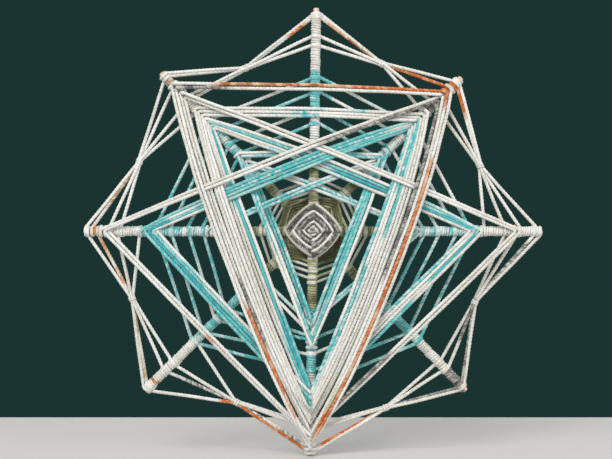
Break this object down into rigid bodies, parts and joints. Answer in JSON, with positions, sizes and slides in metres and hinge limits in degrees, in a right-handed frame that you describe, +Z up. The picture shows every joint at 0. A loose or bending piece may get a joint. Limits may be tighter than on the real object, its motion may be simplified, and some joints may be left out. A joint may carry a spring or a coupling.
{
  "type": "ojo de dios",
  "caption": "Eight-armed ojo de dios: crossed bamboo skewers woven with variegated yarn into a star of triangles around a small eye.",
  "frame": {"origin": "the hub, where the sticks cross, halfway in depth between the front pair and the rear pair", "axes": "+Z up along the upper arm, +X to the right, the woven face looks along -Y and +Y points at the wall behind"},
  "size_m": [0.203, 0.0171, 0.198],
  "materials": {
    "bamboo": "smooth raw bamboo, matte",
    "white_yarn": "soft spun yarn with orange and grey stretches",
    "turquoise_yarn": "soft spun yarn, turquoise fading to white",
    "olive_yarn": "soft spun yarn, olive fading to cream",
    "grey_yarn": "soft spun yarn, dark grey and white marl"
  },
  "bodies": {
    "root": {"stick_upright": "bamboo", "stick_level": "bamboo", "stick_rising": "bamboo", "stick_falling": "bamboo", "eye_olive": "olive_yarn", "eye_grey": "grey_yarn", "olive_rounds": "olive_yarn", "turquoise_rounds": "turquoise_yarn", "rim_rounds": "white_yarn", "tip_rounds": "white_yarn", "tie_s_se": "white_yarn", "tie_se_e": "white_yarn", "tie_e_ne": "white_yarn", "tie_ne_n": "white_yarn", "tie_n_nw": "white_yarn", "tie_nw_w": "white_yarn", "tie_w_sw": "white_yarn", "tie_sw_s": "white_yarn", "inner_right_triangle": "turquoise_yarn", "inner_left_triangle": "turquoise_yarn", "inner_kite": "turquoise_yarn", "middle_right_triangle": "turquoise_yarn", "middle_left_triangle": "turquoise_yarn", "middle_kite": "turquoise_yarn", "outer_right_triangle": "white_yarn", "outer_left_triangle": "white_yarn", "outer_kite": "white_yarn", "winding_n_rim": "white_yarn", "winding_sw_rim": "white_yarn", "winding_se_rim": "white_yarn", "winding_w_rim": "white_yarn", "winding_e_rim": "white_yarn", "winding_n_middle": "turquoise_yarn", "winding_sw_middle": "turquoise_yarn", "winding_se_middle": "turquoise_yarn", "winding_n_hub": "olive_yarn", "winding_w_hub": "olive_yarn", "winding_e_hub": "olive_yarn", "winding_s_hub": "olive_yarn", "winding_nw_hub": "olive_yarn", "winding_ne_hub": "olive_yarn"}
  },
  "joints": []
}
